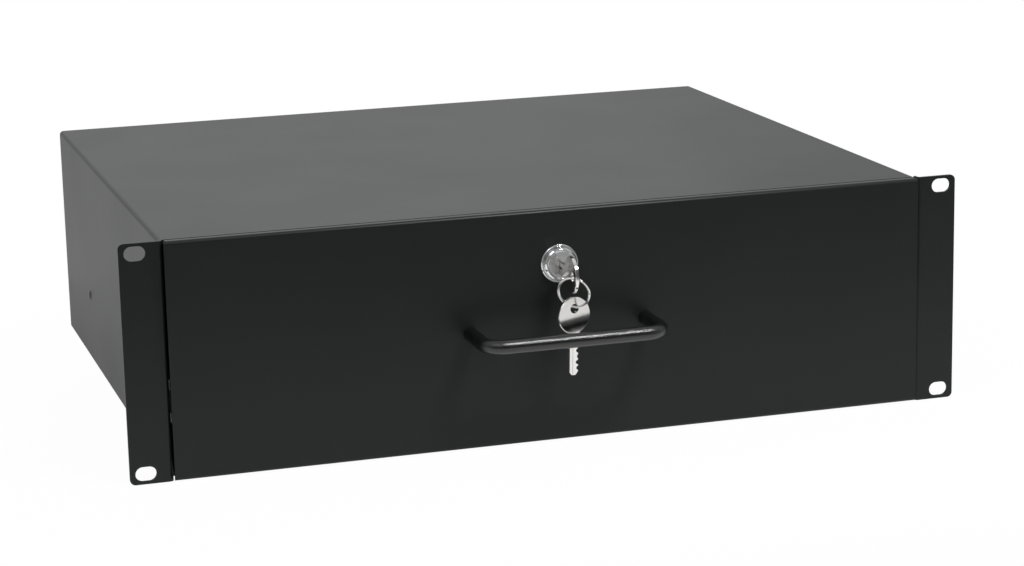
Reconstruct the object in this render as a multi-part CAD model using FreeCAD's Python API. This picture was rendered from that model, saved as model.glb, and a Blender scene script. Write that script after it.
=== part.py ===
import FreeCAD, Part
import os
from math import atan2, cos, degrees, radians, sin, sqrt

# Three-unit sliding rack drawer: a folded sheet-steel chassis with rack ears, a drawer on
# two-part ball-bearing slides, a bar handle, and a cam lock with a key, a split ring and a spare key.
# Frame, in millimetres: X to the right, +Y into the rack, +Z up. The origin is the centre of
# the four rack slots, on the rear face of the ears.

V = FreeCAD.Vector
X, Y, Z = V(1, 0, 0), V(0, 1, 0), V(0, 0, 1)

# ---------- driving dimensions ----------
RACK_WIDTH = 482.6                 # over the ears of a 19 inch panel
UNIT = 44.45                       # one rack unit
UNITS = 3
PANEL_HEIGHT = UNITS * UNIT - 1.35
SLOT_SPACING_X = 465.1
SLOT_SPACING_Z = 120.65
SLOT_LENGTH, SLOT_WIDTH = 11.5, 8.0

SHEET = 1.5                        # chassis, drawer front and back panel
BEND = 1.0                         # inside radius of the chassis bends
TIGHT_BEND = 0.5                   # inside radius of the drawer front's and the slides' bends
CONTACT_GAP = 0.05                 # between a screw or barrel and its hole
EAR_CORNER = 3.0
CHASSIS_WIDTH = 438.0
CHASSIS_TOP = 65.6
CHASSIS_REAR = 366.0
TOP_SETBACK = 3.5                  # front edge of the chassis top
FLOOR_SETBACK = 8.0                # front edge of the chassis floor
BOTTOM_FLANGE = 13.0
REAR_FLANGE = 12.0
CORNER_RELIEF = 4.0
FLOOR_SIDE_GAP = 1.1
FLOOR_TURN_GAP = 2.0               # floor's rear turn-up to the shell's side flanges
BACK_EDGE = 1.5                    # back panel's edge inside the chassis outline
FLOOR_RIVET_ROWS = (30.0, 135.0, 240.0, 340.0)
FLOOR_RIVET_R = 1.6
FLOOR_RIVET_HEAD_R, FLOOR_RIVET_SINK = 3.0, 1.1
FLOOR_RIVET_TAIL_R, FLOOR_RIVET_TAIL = 2.4, 1.2
BACK_SCREW_X = 150.0
BACK_SCREW_R, BACK_SCREW_LENGTH = 1.9, 7.0
BACK_SCREW_HEAD_R, BACK_SCREW_HEAD = 3.8, 2.4

FRONT_WIDTH = 434.7
FRONT_FACE = -3.5                  # drawer front stands this far before the ears' rear face
FRONT_BOTTOM, FRONT_TOP = -65.6, 65.75
FRONT_FLANGE = 5.0
FRONT_FLANGE_INSET = 1.0

TRAY_SHEET = 1.2
TRAY_WIDTH = 415.0
TRAY_BOTTOM, TRAY_TOP = -61.5, 49.5
TRAY_REAR = 343.0
HEM = 8.0
HEM_GAP = 0.3
CORNER_TAB = 12.0
CORNER_TAB_DROP = 2.0              # tab's upper end below the hem

SLIDE_Z = -22.3
SLIDE_FRONT = 1.5
SLIDE_LENGTH = 300.0
SLIDE_HEIGHT = 27.0
SLIDE_DEPTH = 10.0                 # from the chassis side to the tray side
SLIDE_SHEET = 1.2
HOLE_INSET = 35.0                  # fixing holes from the slide's ends
OUTER_CORNER, INNER_CORNER = 2.6, 1.6
RIVET_R = 2.0
RIVET_HEAD_R, RIVET_HEAD = 3.6, 1.2
BALL_R = 1.6
BALL_ACROSS = 5.2                  # ball centres from the chassis side
BALL_PLAY = 0.05
CURL_REACH = 55.0                  # degrees that each lip curls round the balls
TAB_HALF, TAB_SLIT, TAB_REACH = 5.3, 1.0, 3.8
TAB_ROOT = 2.0
INNER_TAB_CUT = 4.0
STOP_GAP = 0.4                     # inner member's stop to the outer member's web
CAGE_STOP_GAP = 0.5
CAGE_SHEET = 0.6
CAGE_WEB = 1.7
CAGE_FLANGE_END = 7.9
CAGE_LENGTH = 86.0
CAGE_WINDOW_INSET, CAGE_WINDOW_HALF = 16.0, 4.0
TRAVEL = 210.0
BALLS_PER_ROW = 6

HANDLE_SPAN = 101.6
HANDLE_REACH = 35.0
HANDLE_R = 4.0
HANDLE_BEND = 11.0
HANDLE_SCREW_R = 2.0
HANDLE_SCREW_HEAD_R, HANDLE_SCREW_HEAD = 3.8, 2.6
HANDLE_BORE_DEPTH, HANDLE_BORE_SPARE = 10.0, 2.0
WASHER_R, WASHER_THICK = 4.5, 0.8

LOCK_X, LOCK_Z = 1.2, 35.3
FLANGE_R, FLANGE_THICK = 10.8, 1.3
BEZEL_R, BEZEL_REACH = 9.3, 4.0
BARREL_R, BARREL_FLAT, BARREL_REAR = 9.25, 8.0, 17.0
PLUG_R, PLUG_PLAY = 6.5, 0.05
PLUG_HEAD_R, PLUG_HEAD_DEPTH = 7.3, 1.6
PLUG_FACE = -6.4
BEZEL_BEVEL, FLANGE_BEVEL, PLUG_BEVEL, BARREL_BEVEL = 0.9, 0.5, 0.3, 0.6
MOUTH_FLARE = 0.4
KEYWAY_DEPTH = 17.0
WAFERS = 5
WAFER_PITCH, WAFER_THICK, WAFER_FIRST = 2.4, 1.0, -1.2
WAFER_HALF_WIDTH, WAFER_HALF_HEIGHT, WAFER_PLAY = 2.9, 5.6, 0.1
WAFER_WINDOW_PLAY = 0.25
SPRING_R, SPRING_LENGTH = 0.47, 2.4
SPRING_ACROSS, SPRING_RISE = 2.15, 2.5
POCKET_INNER, POCKET_PLAY = 1.5, 0.1
NUT_FLATS, NUT_THICK = 22.0, 4.5
NUT_CROWN = (1.4, 0.9)             # bevel of the nut's corners, inwards and along
CAM_FRONT, CAM_THICK = 17.5, 2.0
CAM_LENGTH, CAM_WIDTH = 24.0, 15.0
CAM_ARM_WIDTH, CAM_TIP_CORNER = 12.0, 3.0
CAM_SQUARE = 7.0
CAM_SCREW_R, CAM_SCREW_LENGTH = 2.4, 7.0
CAM_SCREW_HEAD_R, CAM_SCREW_HEAD = 4.6, 3.2
CAM_SCREW_HOLE = 7.0               # from the square end's face
CAM_WASHER_R, CAM_WASHER_THICK, CAM_WASHER_SLIT = 5.4, 1.0, 1.0
STRIKE_WIDTH, STRIKE_BOTTOM, STRIKE_SHEET = 34.0, 51.5, 2.0
STRIKE_LEG, STRIKE_CORNER = 16.0, 4.0
STRIKE_PLAY = 1.0

KEY_THICK = 2.0
KEY_BOW_R = 10.2
KEY_HOLE_R, KEY_HOLE_RISE = 2.7, 3.8
KEY_NECK_WIDTH, KEY_NECK = 7.0, 7.9
KEY_BLADE_WIDTH, KEY_BLADE = 5.6, 16.0
KEY_CUT_DEPTHS = (1.5, 0.9, 1.7, 1.2)
KEY_CUT_START, KEY_CUT_END = 0.8, 3.0    # uncut blade at the shoulder and at the tip
KEY_TIP = (1.0, -1.4, 1.6)         # tip's front and back edge, and its slant up the back
KEY_GROOVE = 0.5
KEY_EDGE = 0.25
KEY_DROP = 2.2                     # key axis below the plug axis
KEY_SHOULDER_GAP = 1.0             # neck's shoulder to the plug's face
KEYWAY_PLAY = 0.15

RING_R = 8.75                      # to the middle of the wire
RING_HIGH, RING_DEEP = 1.3, 0.6    # flattened wire, measured across and along the ring's axis
RING_YAW = 37.0                    # the ring's plane, turned about the vertical
RING_TILT = 14.0                   # the ring hangs with its foot towards the drawer front
RING_SEAT = 1.0                    # wire below the middle of the lock key's hole
RING_SLIDE = -0.95                 # ring's middle from that hole, along the wire
SPARE_SEAT = 0.85                  # middle of the spare key's hole below the wire
SPARE_SLIDE = -1.0                 # that hole from the ring's middle, along the wire
SPARE_LEAN = 1.8                   # the spare key's tip swung to the left
RING_EDGE = 0.25
RING_END_CUT = 0.6                 # gap left by the outer turn's squared end
SPARE_YAW = -15.0                  # the spare key's plane, turned about the vertical

# ---------- derived values ----------
EAR_FRONT = -SHEET
HALF_RACK = RACK_WIDTH / 2
HALF_PANEL = PANEL_HEIGHT / 2
HALF_CHASSIS = CHASSIS_WIDTH / 2
INNER_SIDE = HALF_CHASSIS - SHEET
CHASSIS_BOTTOM = -HALF_PANEL
FLOOR_TOP = CHASSIS_BOTTOM + 2 * SHEET
BACK_FACE = CHASSIS_REAR + SHEET
HALF_FRONT = FRONT_WIDTH / 2
FRONT_BACK = FRONT_FACE + SHEET
HALF_TRAY = TRAY_WIDTH / 2
TRAY_FRONT = FRONT_BACK + TRAY_SHEET
HALF_SLIDE = SLIDE_HEIGHT / 2
SLIDE_REAR = SLIDE_FRONT + SLIDE_LENGTH
GROOVE_R = BALL_R + BALL_PLAY
LIP_R = GROOVE_R + SLIDE_SHEET / 2
BALL_H = HALF_SLIDE - SLIDE_SHEET - GROOVE_R
CAGE_FRONT = SLIDE_FRONT + SLIDE_SHEET + CAGE_STOP_GAP + TRAVEL / 2
TRAY_SIDE = -INNER_SIDE + SLIDE_DEPTH    # left side of the tray, outside
PLUG_SHELF = PLUG_FACE + PLUG_HEAD_DEPTH
KEY_Z = LOCK_Z - KEY_DROP
KEY_NECK_ROOT = sqrt(KEY_BOW_R ** 2 - (KEY_NECK_WIDTH / 2) ** 2)
KEY_BOW_Y = PLUG_FACE - KEY_SHOULDER_GAP - KEY_NECK - KEY_NECK_ROOT
KEY_HOLE_Y = KEY_BOW_Y - KEY_HOLE_RISE
RING_ALONG = V(cos(radians(RING_YAW)), -sin(radians(RING_YAW)), 0)
RING_TOP = V(LOCK_X, KEY_HOLE_Y, KEY_Z - RING_SEAT) + RING_ALONG * RING_SLIDE
RING_LEAN = sin(radians(RING_TILT))
RING_HANG = V(sin(radians(RING_YAW)) * RING_LEAN, cos(radians(RING_YAW)) * RING_LEAN,
              -cos(radians(RING_TILT)))
RING_CENTRE = RING_TOP + RING_HANG * RING_R
RING_FOOT = RING_TOP + RING_HANG * (2 * RING_R)
SPARE_HOLE = RING_FOOT + RING_ALONG * SPARE_SLIDE - Z * SPARE_SEAT


# ---------- helpers ----------
def box(x0, x1, y0, y1, z0, z1):
    """Block between two corners given axis by axis."""
    return Part.makeBox(x1 - x0, y1 - y0, z1 - z0, V(x0, y0, z0))


def rod(radius, start, axis, length):
    """Cylinder along an axis."""
    return Part.makeCylinder(radius, length, start, axis)


def on_xz(y):
    """Map profile points (u, v) to X and Z at a given Y."""
    return lambda u, v: V(u, y, v)


def on_yz(x):
    """Map profile points (u, v) to Y and Z at a given X."""
    return lambda u, v: V(x, u, v)


def on_xy(z):
    """Map profile points (u, v) to X and Y at a given Z."""
    return lambda u, v: V(u, v, z)


def arc_points(centre, radius, start, end):
    """First, middle and last point of an arc between two angles in degrees."""
    angles = [radians(start + (end - start) * part) for part in (0, 0.5, 1)]
    return [(centre[0] + radius * cos(a), centre[1] + radius * sin(a)) for a in angles]


def ribbon(segments, thickness, place):
    """Closed outline of a sheet that follows lines and arcs at the middle of its thickness.

    A segment is ("line", start, end) or ("arc", centre, radius, start angle, end angle).
    """
    left, right = [], []
    for segment in segments:
        if segment[0] == "line":
            (u0, v0), (u1, v1) = segment[1:]
            length = distance((u0, v0), (u1, v1))
            nu, nv = -(v1 - v0) / length, (u1 - u0) / length
            for side, reach in ((left, thickness / 2), (right, -thickness / 2)):
                side.append([(u0 + nu * reach, v0 + nv * reach), (u1 + nu * reach, v1 + nv * reach)])
        else:
            centre, radius, start, end = segment[1:]
            inward = thickness / 2 if end > start else -thickness / 2
            left.append(arc_points(centre, radius - inward, start, end))
            right.append(arc_points(centre, radius + inward, start, end))
    back = [points[::-1] for points in right[::-1]]
    outline = left + [[left[-1][-1], back[0][0]]] + back + [[back[-1][-1], left[0][0]]]
    edges = []
    for points in outline:
        ends = [place(*point) for point in points]
        curve = Part.LineSegment(*ends) if len(ends) == 2 else Part.Arc(*ends)
        edges.append(curve.toShape())
    return Part.Face(Part.Wire(edges))


def bent_path(points, bend):
    """Lines through the points with an arc of the given middle radius at every corner."""
    segments = []
    start = points[0]
    for corner, after in zip(points[1:-1], points[2:]):
        before_angle = angle_of(start, corner)
        after_angle = angle_of(corner, after)
        turn = (after_angle - before_angle + 180) % 360 - 180
        setback = bend * abs(sin(radians(turn / 2)) / cos(radians(turn / 2)))
        entry = step(corner, before_angle, -setback)
        leave = step(corner, after_angle, setback)
        side = 90 if turn > 0 else -90
        centre = step(entry, before_angle + side, bend)
        segments.append(("line", start, entry))
        segments.append(("arc", centre, bend, before_angle - side, before_angle - side + turn))
        start = leave
    segments.append(("line", start, points[-1]))
    return [segment for segment in segments if segment[0] == "arc" or distance(*segment[1:]) > 1e-6]


def distance(start, end):
    """Length between two profile points."""
    return sqrt((end[0] - start[0]) ** 2 + (end[1] - start[1]) ** 2)


def angle_of(start, end):
    """Direction from one point to another, in degrees."""
    return degrees(atan2(end[1] - start[1], end[0] - start[0]))


def step(point, angle, reach):
    """Point at a distance and angle from another."""
    return (point[0] + reach * cos(radians(angle)), point[1] + reach * sin(radians(angle)))


def folded(points, thickness, bend, place, sweep):
    """Sheet folded along points at its mid-thickness, with an inside bend radius, and extruded."""
    return ribbon(bent_path(points, bend + thickness / 2), thickness, place).extrude(sweep)


def mirrored(shape):
    """The same shape on the other side of the drawer."""
    return shape.mirror(V(0, 0, 0), X)


def pan_head(radius, height, start, axis):
    """Low screw head with a bevelled rim, seated on its start plane."""
    half = height / 2
    crown = Part.makeCone(radius, radius * 0.65, half, start + axis * half, axis)
    return rod(radius, start, axis, half).fuse(crown)


def domed_head(radius, height, start, axis):
    """Shallow round rivet head, seated on its start plane."""
    ball_r = (radius ** 2 + height ** 2) / (2 * height)
    ball = Part.makeSphere(ball_r, start - axis * (ball_r - height))
    return ball.common(rod(radius, start, axis, height))


def hexagon(corner_r, centre, length):
    """Six-sided bar along +Y from its centre, with a corner to each side."""
    corners = [centre + V(cos(radians(60 * i)), 0, sin(radians(60 * i))) * corner_r for i in range(7)]
    return Part.Face(Part.makePolygon(corners)).extrude(Y * length)


def turned_corners(shape, radius, length, near):
    """Round the edges of one length whose middle passes the test."""
    edges = [edge for edge in shape.Edges
             if abs(edge.Length - length) < 1e-6 and near(edge.CenterOfMass)]
    return shape.makeFillet(radius, edges)


def fused(parts):
    """One clean solid from overlapping or touching parts."""
    return parts[0].multiFuse(parts[1:]).removeSplitter()


def save(name, shape):
    """Write one sub-part."""
    shape.exportStep("parts/%s.step" % name)


# ---------- chassis ----------
def slot(x, z):
    """Cutter for one rack slot, longer across than high."""
    reach = (SLOT_LENGTH - SLOT_WIDTH) / 2
    radius = SLOT_WIDTH / 2
    start = EAR_FRONT - 1
    depth = SHEET + 2
    middle = box(x - reach, x + reach, start, start + depth, z - radius, z + radius)
    ends = [rod(radius, V(x + side * reach, start, z), Y, depth) for side in (-1, 1)]
    return middle.multiFuse(ends)


def ear():
    """Right rack ear with its bend and the strip of side that joins it to the chassis."""
    mid = SHEET / 2
    path = [(HALF_CHASSIS - mid, TOP_SETBACK), (HALF_CHASSIS - mid, EAR_FRONT + mid),
            (HALF_RACK, EAR_FRONT + mid)]
    sheet = folded(path, SHEET, BEND, on_xy(-HALF_PANEL), V(0, 0, PANEL_HEIGHT))
    sheet = turned_corners(sheet, EAR_CORNER, SHEET, lambda point: abs(point.x - HALF_RACK) < 1e-6)
    for side in (-1, 1):
        sheet = sheet.cut(slot(SLOT_SPACING_X / 2, side * SLOT_SPACING_Z / 2))
    return sheet


def slide_hole_rows():
    """Y of the fixing holes of each slide member."""
    return (SLIDE_FRONT + HOLE_INSET, SLIDE_REAR - HOLE_INSET)


def floor_rivet_spots():
    """Places of the rivets between the bottom flanges and the floor."""
    x = HALF_CHASSIS - BOTTOM_FLANGE / 2 - 1
    return [(sign * x, y) for sign in (-1, 1) for y in FLOOR_RIVET_ROWS]


def back_screw_spots():
    """Places of the back panel's screws: three along the top, three in the floor, one each side."""
    inset = REAR_FLANGE / 2 + 1
    side = HALF_CHASSIS - inset
    rows = [(x, z) for z in (CHASSIS_TOP - inset, FLOOR_TOP + inset)
            for x in (-BACK_SCREW_X, 0, BACK_SCREW_X)]
    return rows + [(-side, 0), (side, 0)]


def countersink(x, y):
    """Conical seat for a flush rivet head in the underside."""
    return Part.makeCone(FLOOR_RIVET_HEAD_R, FLOOR_RIVET_R, FLOOR_RIVET_SINK, V(x, y, CHASSIS_BOTTOM), Z)


def shell_holes():
    """Slide rivet holes, countersunk floor rivet holes and the flanges' screw holes."""
    holes = []
    for sign in (-1, 1):
        for y in slide_hole_rows():
            holes.append(rod(RIVET_R, V(sign * (HALF_CHASSIS + 1), y, SLIDE_Z), X * -sign, SHEET + 2))
    for x, y in floor_rivet_spots():
        holes.append(rod(FLOOR_RIVET_R, V(x, y, CHASSIS_BOTTOM - 1), Z, SHEET + 2))
        holes.append(countersink(x, y))
    for x, z in back_screw_spots():
        if z > FLOOR_TOP + REAR_FLANGE:
            holes.append(rod(BACK_SCREW_R, V(x, CHASSIS_REAR - SHEET - 1, z), Y, SHEET + 2))
    return Part.makeCompound(holes)


def chassis_shell():
    """Top, sides, ears, bottom flanges and rear flanges, folded from one sheet."""
    mid = SHEET / 2
    side, top, bottom = HALF_CHASSIS - mid, CHASSIS_TOP - mid, CHASSIS_BOTTOM + mid
    lip = side - BOTTOM_FLANGE
    wrap_rear = CHASSIS_REAR - SHEET - BEND
    wrap = folded([(-lip, bottom), (-side, bottom), (-side, top), (side, top), (side, bottom),
                   (lip, bottom)], SHEET, BEND, on_xz(TOP_SETBACK), Y * (wrap_rear - TOP_SETBACK))
    rear = CHASSIS_REAR - mid
    drop = [(wrap_rear, top), (rear, top), (rear, CHASSIS_TOP - REAR_FLANGE)]
    half = HALF_CHASSIS - CORNER_RELIEF
    top_flange = folded(drop, SHEET, BEND, on_yz(-half), X * (2 * half))
    turn = [(side, wrap_rear), (side, rear), (HALF_CHASSIS - REAR_FLANGE, rear)]
    low, high = CHASSIS_BOTTOM + CORNER_RELIEF, CHASSIS_TOP - CORNER_RELIEF
    side_flange = folded(turn, SHEET, BEND, on_xy(low), Z * (high - low))
    ears = ear()
    shell = fused([wrap, top_flange, side_flange, mirrored(side_flange), ears, mirrored(ears)])
    for sign in (-1, 1):
        inner, outer = sorted((sign * (lip - 1), sign * INNER_SIDE))
        shell = shell.cut(box(inner, outer, EAR_FRONT, FLOOR_SETBACK, CHASSIS_BOTTOM - 1,
                              CHASSIS_BOTTOM + SHEET + BEND))
    return shell.cut(shell_holes())


def floor_pan():
    """Flat floor on the shell's bottom flanges, turned up at the rear."""
    mid = SHEET / 2
    level = FLOOR_TOP - mid
    rear = CHASSIS_REAR - mid
    half = INNER_SIDE - REAR_FLANGE - FLOOR_TURN_GAP
    flat_rear = rear - mid - BEND
    turned = folded([(flat_rear - 1, level), (rear, level), (rear, FLOOR_TOP + REAR_FLANGE)],
                    SHEET, BEND, on_yz(-half), X * (2 * half))
    wide = INNER_SIDE - FLOOR_SIDE_GAP
    flat = box(-wide, wide, FLOOR_SETBACK, flat_rear, FLOOR_TOP - SHEET, FLOOR_TOP)
    holes = [rod(FLOOR_RIVET_R, V(x, y, FLOOR_TOP - SHEET - 1), Z, SHEET + 2)
             for x, y in floor_rivet_spots()]
    holes += [rod(BACK_SCREW_R, V(x, rear - SHEET, z), Y, SHEET * 2)
              for x, z in back_screw_spots() if z < FLOOR_TOP + REAR_FLANGE]
    return fused([flat, turned]).cut(Part.makeCompound(holes))


def floor_rivets():
    """Rivets with a flush head below and a formed tail above the floor."""
    rivets = []
    for x, y in floor_rivet_spots():
        shank = rod(FLOOR_RIVET_R, V(x, y, CHASSIS_BOTTOM), Z, 2 * SHEET)
        tail = pan_head(FLOOR_RIVET_TAIL_R, FLOOR_RIVET_TAIL, V(x, y, FLOOR_TOP), Z)
        rivets.append(fused([countersink(x, y), shank, tail]))
    return Part.makeCompound(rivets)


def back_panel():
    """Flat sheet screwed on the rear flanges."""
    half = HALF_CHASSIS - BACK_EDGE
    plate = box(-half, half, CHASSIS_REAR, BACK_FACE, CHASSIS_BOTTOM + BACK_EDGE, CHASSIS_TOP - BACK_EDGE)
    holes = [rod(BACK_SCREW_R, V(x, CHASSIS_REAR - 1, z), Y, SHEET + 2) for x, z in back_screw_spots()]
    return plate.cut(Part.makeCompound(holes))


def back_panel_screws():
    """Pan-head screws through the back panel into the flanges."""
    screws = []
    for x, z in back_screw_spots():
        seat = V(x, BACK_FACE, z)
        head = pan_head(BACK_SCREW_HEAD_R, BACK_SCREW_HEAD, seat, Y)
        screws.append(fused([head, rod(BACK_SCREW_R, seat, -Y, BACK_SCREW_LENGTH)]))
    return Part.makeCompound(screws)


def lock_strike():
    """Angle welded under the chassis top, whose leg the cam turns up behind."""
    mid = STRIKE_SHEET / 2
    leg = CAM_FRONT - STRIKE_PLAY - mid
    ceiling = CHASSIS_TOP - SHEET - mid
    path = [(leg, STRIKE_BOTTOM), (leg, ceiling), (leg + STRIKE_LEG, ceiling)]
    angle = folded(path, STRIKE_SHEET, BEND, on_yz(LOCK_X - STRIKE_WIDTH / 2), X * STRIKE_WIDTH)
    return turned_corners(angle, STRIKE_CORNER, STRIKE_SHEET,
                          lambda point: abs(point.z - STRIKE_BOTTOM) < 1e-6)


# ---------- slides ----------
def slide_section(upper):
    """Face of a left slide member from its upper half profile, which ends on the middle line.

    Profile u runs from the chassis side towards the tray, and v up from the middle.
    """
    lower = []
    for segment in reversed(upper):
        if segment[0] == "line":
            (u0, v0), (u1, v1) = segment[1:]
            lower.append(("line", (u1, -v1), (u0, -v0)))
        else:
            (u, v), radius, start, end = segment[1:]
            lower.append(("arc", (u, -v), radius, -end, -start))
    face = ribbon(upper + lower, SLIDE_SHEET, on_xz(SLIDE_FRONT))
    face.translate(V(-INNER_SIDE, 0, SLIDE_Z))
    return face


def slide_holes(side):
    """Cutters for the rivet holes of a slide member, across one side plane."""
    return [rod(RIVET_R, V(side - 2, y, SLIDE_Z), X, 4) for y in slide_hole_rows()]


def slide_outer():
    """Left chassis member: a channel whose lips curl over the balls, with a lanced stop in front."""
    web = SLIDE_SHEET / 2
    lip = HALF_SLIDE - web
    crook = (web + OUTER_CORNER, lip - OUTER_CORNER)
    upper = [("arc", (BALL_ACROSS, BALL_H), LIP_R, 90 - CURL_REACH, 90),
             ("line", (BALL_ACROSS, lip), (crook[0], lip)),
             ("arc", crook, OUTER_CORNER, 90, 180),
             ("line", (web, crook[1]), (web, 0))]
    member = slide_section(upper).extrude(Y * SLIDE_LENGTH)
    side = -INNER_SIDE
    slit = TAB_HALF + TAB_SLIT
    member = member.cut(box(side - 1, side + SLIDE_SHEET + TIGHT_BEND, SLIDE_FRONT - 1,
                            SLIDE_FRONT + TAB_REACH, SLIDE_Z - slit, SLIDE_Z + slit))
    path = [(side + web, SLIDE_FRONT + TAB_REACH + TAB_ROOT), (side + web, SLIDE_FRONT + web),
            (side + TAB_REACH, SLIDE_FRONT + web)]
    tab = folded(path, SLIDE_SHEET, TIGHT_BEND, on_xy(SLIDE_Z - TAB_HALF), Z * (2 * TAB_HALF))
    return fused([member, tab]).cut(Part.makeCompound(slide_holes(side)))


def slide_inner():
    """Left drawer member: a channel whose lips curl under the balls, with a stop at its rear."""
    web = SLIDE_DEPTH - SLIDE_SHEET / 2
    lip = BALL_H - LIP_R
    crook = (web - INNER_CORNER, lip - INNER_CORNER)
    upper = [("arc", (BALL_ACROSS, BALL_H), LIP_R, 270 - CURL_REACH, 270),
             ("line", (BALL_ACROSS, lip), (crook[0], lip)),
             ("arc", crook, INNER_CORNER, 90, 0),
             ("line", (web, crook[1]), (web, 0))]
    member = slide_section(upper).extrude(Y * SLIDE_LENGTH)
    opening = box(TRAY_SIDE - SLIDE_SHEET - TIGHT_BEND, TRAY_SIDE + 1, SLIDE_REAR - INNER_TAB_CUT,
                  SLIDE_REAR + 1, SLIDE_Z - TAB_HALF, SLIDE_Z + TAB_HALF)
    mid = SLIDE_SHEET / 2
    tip = -INNER_SIDE + SLIDE_SHEET + STOP_GAP
    path = [(TRAY_SIDE - mid, SLIDE_REAR - INNER_TAB_CUT), (TRAY_SIDE - mid, SLIDE_REAR - mid),
            (tip, SLIDE_REAR - mid)]
    tab = folded(path, SLIDE_SHEET, TIGHT_BEND, on_xy(SLIDE_Z - TAB_HALF), Z * (2 * TAB_HALF))
    return fused([member.cut(opening), tab]).cut(Part.makeCompound(slide_holes(TRAY_SIDE)))


def ball_spots():
    """Centres of the left slide's balls, an upper and a lower row."""
    pitch = CAGE_LENGTH / BALLS_PER_ROW
    x = -INNER_SIDE + BALL_ACROSS
    return [V(x, CAGE_FRONT + pitch * (i + 0.5), SLIDE_Z + sign * BALL_H)
            for sign in (-1, 1) for i in range(BALLS_PER_ROW)]


def ball_cage():
    """Left ball cage: a thin channel with a round pocket for each ball and a long window."""
    web = -INNER_SIDE + CAGE_WEB + CAGE_SHEET / 2
    end = -INNER_SIDE + CAGE_FLANGE_END
    low, high = SLIDE_Z - BALL_H, SLIDE_Z + BALL_H
    cage = folded([(end, high), (web, high), (web, low), (end, low)], CAGE_SHEET, TIGHT_BEND,
                  on_xz(CAGE_FRONT), Y * CAGE_LENGTH)
    pockets = [rod(GROOVE_R, centre - Z, Z, 2) for centre in ball_spots()]
    window = box(web - 1, web + 1, CAGE_FRONT + CAGE_WINDOW_INSET,
                 CAGE_FRONT + CAGE_LENGTH - CAGE_WINDOW_INSET,
                 SLIDE_Z - CAGE_WINDOW_HALF, SLIDE_Z + CAGE_WINDOW_HALF)
    return cage.cut(Part.makeCompound(pockets + [window]))


def slide_balls():
    """Left slide's balls."""
    return Part.makeCompound([Part.makeSphere(BALL_R, centre) for centre in ball_spots()])


def slide_rivets(seat_x, depth):
    """Domed rivets on both sides, with heads outwards and shanks closed flush."""
    rivets = []
    for sign in (-1, 1):
        for y in slide_hole_rows():
            seat = V(sign * seat_x, y, SLIDE_Z)
            head = domed_head(RIVET_HEAD_R, RIVET_HEAD, seat, X * sign)
            rivets.append(fused([head, rod(RIVET_R, seat, X * -sign, depth)]))
    return Part.makeCompound(rivets)


def outer_slide_rivets():
    """Rivets from outside the chassis sides into the outer members."""
    return slide_rivets(HALF_CHASSIS, SHEET + SLIDE_SHEET)


def inner_slide_rivets():
    """Rivets from inside the inner members into the tray's sides."""
    return slide_rivets(HALF_TRAY + SLIDE_SHEET, TRAY_SHEET + SLIDE_SHEET)


# ---------- drawer ----------
def front_holes(start, depth):
    """Cutters for the lock barrel, with its two flats, and for the handle screws."""
    radius = BARREL_R + CONTACT_GAP
    flat = BARREL_FLAT + CONTACT_GAP
    barrel = rod(radius, V(LOCK_X, start, LOCK_Z), Y, depth)
    barrel = barrel.common(box(LOCK_X - radius, LOCK_X + radius, start, start + depth,
                               LOCK_Z - flat, LOCK_Z + flat))
    screws = [rod(HANDLE_SCREW_R + CONTACT_GAP, V(sign * HANDLE_SPAN / 2, start, 0), Y, depth)
              for sign in (-1, 1)]
    return Part.makeCompound([barrel] + screws)


def drawer_front():
    """Front panel with shallow flanges folded back along its top and bottom."""
    mid = SHEET / 2
    rear = FRONT_FACE + FRONT_FLANGE
    path = [(rear, FRONT_TOP - mid), (FRONT_FACE + mid, FRONT_TOP - mid),
            (FRONT_FACE + mid, FRONT_BOTTOM + mid), (rear, FRONT_BOTTOM + mid)]
    panel = folded(path, SHEET, TIGHT_BEND, on_yz(-HALF_FRONT), X * FRONT_WIDTH)
    cuts = [front_holes(FRONT_FACE - 1, SHEET + 2)]
    for sign in (-1, 1):
        inner, outer = sorted((sign * (HALF_FRONT - FRONT_FLANGE_INSET), sign * (HALF_FRONT + 1)))
        cuts.append(box(inner, outer, FRONT_BACK, rear + 1, FRONT_BOTTOM - 1, FRONT_TOP + 1))
    return panel.cut(Part.makeCompound(cuts))


def tray_wrap():
    """Bottom and both sides of the tray, with the sides' top edges hemmed inwards."""
    mid = TRAY_SHEET / 2
    side, bottom = HALF_TRAY - mid, TRAY_BOTTOM + mid
    fold = (TRAY_SHEET + HEM_GAP) / 2
    crest = TRAY_TOP - mid - fold
    corner = BEND + mid
    profile = [("line", (2 * fold - side, TRAY_TOP - HEM), (2 * fold - side, crest)),
               ("arc", (fold - side, crest), fold, 0, 180),
               ("line", (-side, crest), (-side, bottom + corner)),
               ("arc", (corner - side, bottom + corner), corner, 180, 270),
               ("line", (corner - side, bottom), (side - corner, bottom)),
               ("arc", (side - corner, bottom + corner), corner, 270, 360),
               ("line", (side, bottom + corner), (side, crest)),
               ("arc", (side - fold, crest), fold, 0, 180),
               ("line", (side - 2 * fold, crest), (side - 2 * fold, TRAY_TOP - HEM))]
    return ribbon(profile, TRAY_SHEET, on_xz(FRONT_BACK)).extrude(Y * (TRAY_REAR - FRONT_BACK))


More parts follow.
